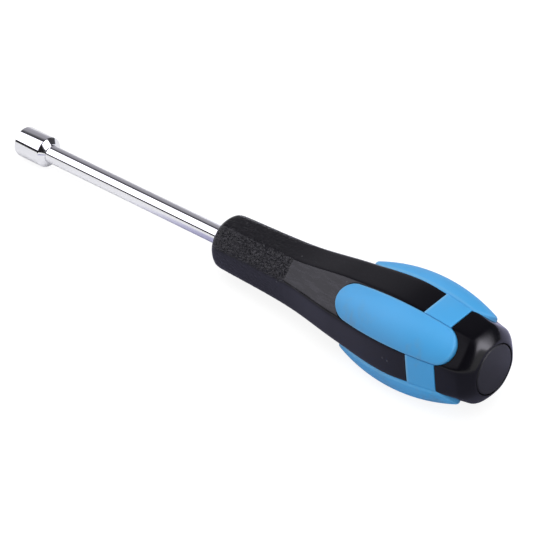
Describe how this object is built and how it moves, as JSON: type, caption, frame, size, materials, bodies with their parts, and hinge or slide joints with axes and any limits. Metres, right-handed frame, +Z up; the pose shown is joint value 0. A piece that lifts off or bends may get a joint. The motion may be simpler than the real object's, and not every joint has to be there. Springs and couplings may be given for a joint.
{
  "type": "nut driver",
  "caption": "Nut driver with a chromed hexagon socket on a round shaft and a square black handle with blue soft-grip lobes, a soft band and an end cap.",
  "frame": {"origin": "centre of the socket's mouth, on the tool's axis", "axes": "+X out of the socket's mouth along the tool's axis, so that the handle lies towards -X; a flat black panel faces each of +Y, -Y, +Z and -Z, and the soft lobes are on the diagonals; the tool is drawn with its axis level, +Z up"},
  "size_m": [0.1972, 0.0302, 0.0302],
  "materials": {
    "chrome": "polished",
    "hard_black": "satin gloss, with a grained nose",
    "soft_blue": "soft matte",
    "cap_black": "fine matte"
  },
  "bodies": {
    "root": {"socket": "chrome", "shaft": "chrome", "handle_core": "hard_black", "soft_grip": "soft_blue", "end_cap": "cap_black"}
  },
  "joints": []
}
